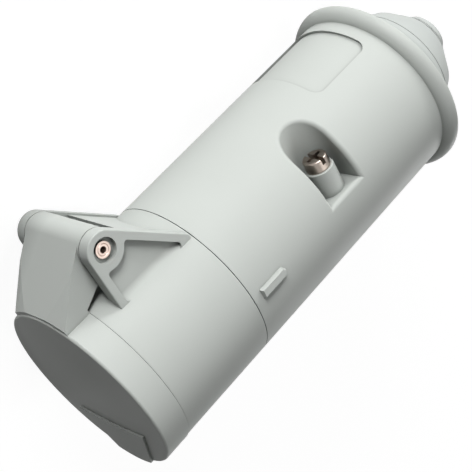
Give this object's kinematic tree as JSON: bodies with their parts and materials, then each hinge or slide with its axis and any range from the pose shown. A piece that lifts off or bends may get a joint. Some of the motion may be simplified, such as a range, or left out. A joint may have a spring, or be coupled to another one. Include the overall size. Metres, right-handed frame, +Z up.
{
  "type": "circular power connector with sprung lid",
  "caption": "Hand-held circular power connector with a sprung hinged lid, pin sleeves and a screw-clamped cable end.",
  "frame": {"origin": "on the connector's axis, in the plane of the socket's mouth", "axes": "+X points out of the mating mouth, towards the lid; the part lies on its side with +Z up, resting on the cable end's rim and the outer corner of one hinge ear"},
  "size_m": [0.1509, 0.0721, 0.0574],
  "materials": {
    "housing_plastic": "light grey moulded plastic with a fine satin texture",
    "gland_plastic": "light grey moulded plastic, smooth satin",
    "insert_plastic": "dark grey moulded plastic, matte",
    "seal_rubber": "black rubber, matte",
    "grommet_rubber": "light grey rubber, matte",
    "contact_brass": "turned brass",
    "screw_steel": "nickel plated steel, satin",
    "spring_steel": "bright drawn spring wire",
    "pin_copper": "pinkish copper-like tube, satin"
  },
  "bodies": {
    "housing": {"front_housing": "housing_plastic", "rear_housing": "housing_plastic", "lid_spring": "spring_steel", "hinge_pin": "pin_copper", "contact_insert": "insert_plastic", "contact_sleeve_earth": "contact_brass", "contact_sleeve_line": "contact_brass", "contact_sleeve_neutral": "contact_brass", "sleeve_rings": "spring_steel", "terminal_screws": "screw_steel", "insert_retainer": "insert_plastic", "insert_screw": "screw_steel", "seam_seal": "seal_rubber", "clamp_screws": "screw_steel", "clamp_bar": "screw_steel", "gland_ring": "gland_plastic", "gland_seal": "seal_rubber", "cable_grommet": "grommet_rubber"},
    "lid": {"lid": "housing_plastic", "lid_gasket": "seal_rubber"}
  },
  "joints": [
    {"name": "lid_hinge", "type": "hinge", "parent": "housing", "child": "lid", "pos_m": [-0.01455, -0.03343, -0.01195], "axis": [0, 0.3366, -0.9416], "range_deg": [0, 120], "stiffness_Nm_per_rad": 0.012, "springref_deg": -148.97}
  ]
}
